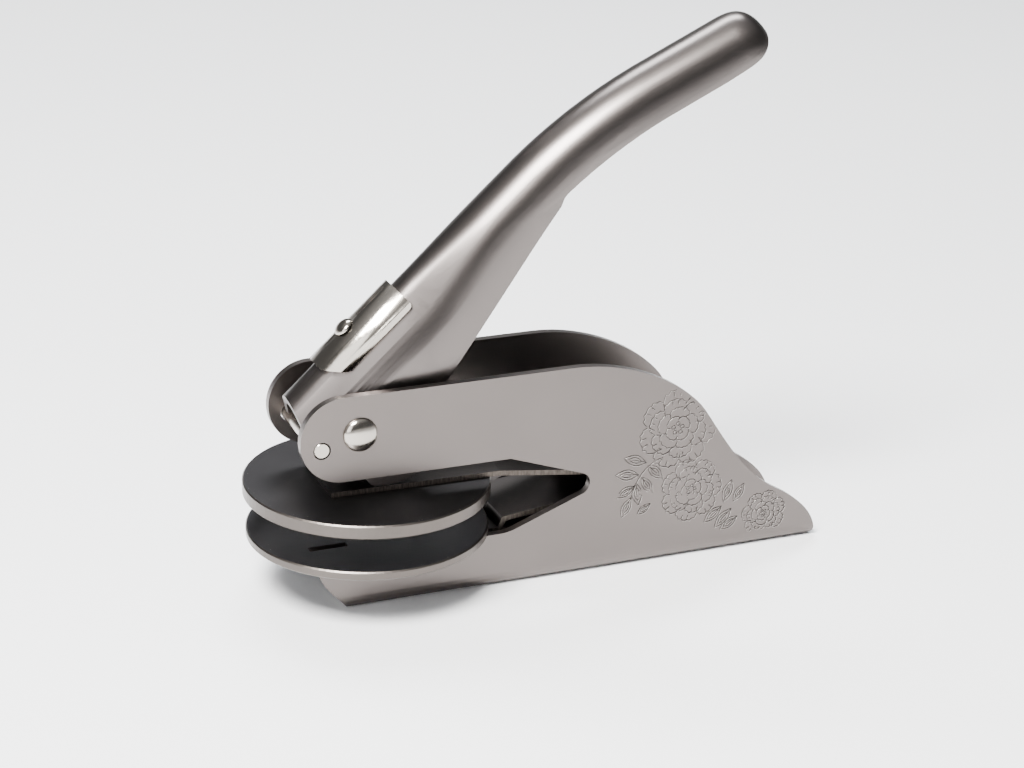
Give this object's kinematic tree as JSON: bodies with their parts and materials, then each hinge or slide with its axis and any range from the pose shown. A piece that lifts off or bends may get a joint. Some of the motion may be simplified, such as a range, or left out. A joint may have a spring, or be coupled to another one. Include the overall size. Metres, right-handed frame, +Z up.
{
  "type": "hand embossing press",
  "caption": "Hand-held embossing seal press: folded metal frame, riveted lever with a cam and a sliding latch, and a leaf clip with round platens.",
  "frame": {"origin": "on the base's bottom face, below the centre of the platens and on the middle plane", "axes": "+Z up, +X from the nose towards the tail along the frame, +Y across the frame towards the far plate"},
  "size_m": [0.1097, 0.045, 0.1011],
  "materials": {
    "frame_plate": "satin gunmetal nickel plate, engraved near side",
    "lever_plate": "satin gunmetal nickel plate",
    "leaf_steel": "satin plate with sheared edges",
    "platen_steel": "turned steel, worn rims",
    "bright_nickel": "bright nickel plate",
    "plain_steel": "plain steel",
    "spring_steel": "drawn spring wire"
  },
  "bodies": {
    "base": {"frame": "frame_plate", "pivot_rivet": "bright_nickel", "pivot_sleeve": "plain_steel", "pivot_washer_near": "bright_nickel", "pivot_washer_far": "bright_nickel", "stop_pin": "bright_nickel", "return_spring": "spring_steel", "lower_leaf": "leaf_steel", "lower_platen": "platen_steel"},
    "lever": {"lever": "lever_plate"},
    "latch": {"latch_slide": "bright_nickel", "latch_rivet": "bright_nickel", "latch_keeper": "plain_steel"},
    "upper_clip": {"upper_leaf": "leaf_steel", "upper_platen": "platen_steel"}
  },
  "joints": [
    {"name": "lever_press", "type": "hinge", "parent": "base", "child": "lever", "pos_m": [-0.0047, 0, 0.0338], "axis": [0, 1, 0], "range_deg": [0, 38], "stiffness_Nm_per_rad": 0.5, "springref_deg": -17.19, "deforming": ["return_spring"]},
    {"name": "clip_close", "type": "hinge", "parent": "base", "child": "upper_clip", "pos_m": [0.056, 0, 0.0162], "axis": [0, -1, 0], "range_deg": [0, 4.35]},
    {"name": "latch_slide", "type": "slide", "parent": "lever", "child": "latch", "axis": [-0.7408, 0, -0.6717], "range_m": [0, 0.006]}
  ],
  "couplings": [
    {"joint": "clip_close", "follows": "lever_press", "ratio": 0.11447}
  ]
}
